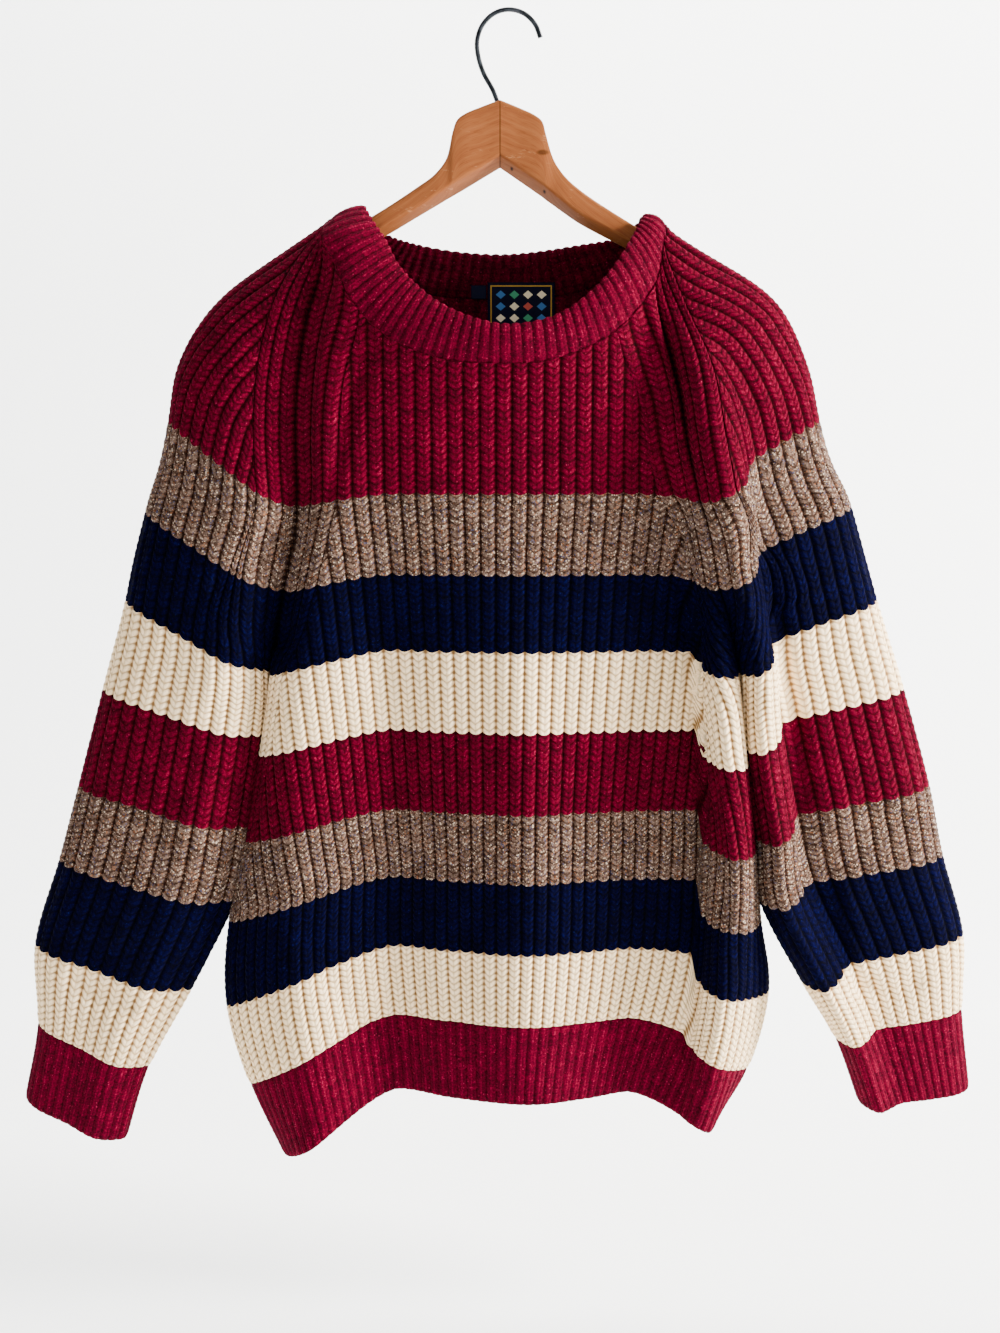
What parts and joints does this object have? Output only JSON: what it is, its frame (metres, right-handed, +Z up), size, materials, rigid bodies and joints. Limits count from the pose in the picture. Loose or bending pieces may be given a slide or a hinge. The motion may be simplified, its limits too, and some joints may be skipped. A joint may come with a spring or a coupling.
{
  "type": "striped fisherman sweater on a wooden hanger",
  "caption": "Chunky ribbed fisherman sweater with wide stripes and raglan sleeves, hanging on a wooden coat hanger with a steel hook.",
  "frame": {"origin": "inner top of the hanger's hook, where it rests on a rail or peg", "axes": "+X towards the viewer's right, the front of the sweater faces -Y, +Z up"},
  "size_m": [0.6954, 0.1084, 0.8063],
  "materials": {
    "wool": "matt knitted wool",
    "label": "woven",
    "wood": "varnished",
    "steel": "dark"
  },
  "bodies": {
    "root": {"front_panel": "wool", "back_panel": "wool", "front_hem_rib": "wool", "back_hem_rib": "wool", "sleeve_left": "wool", "sleeve_right": "wool", "cuff_left": "wool", "cuff_right": "wool", "neckband": "wool", "neck_label": "label", "hanger_left_arm": "wood", "hanger_right_arm": "wood", "hanger_hook": "steel"}
  },
  "joints": []
}
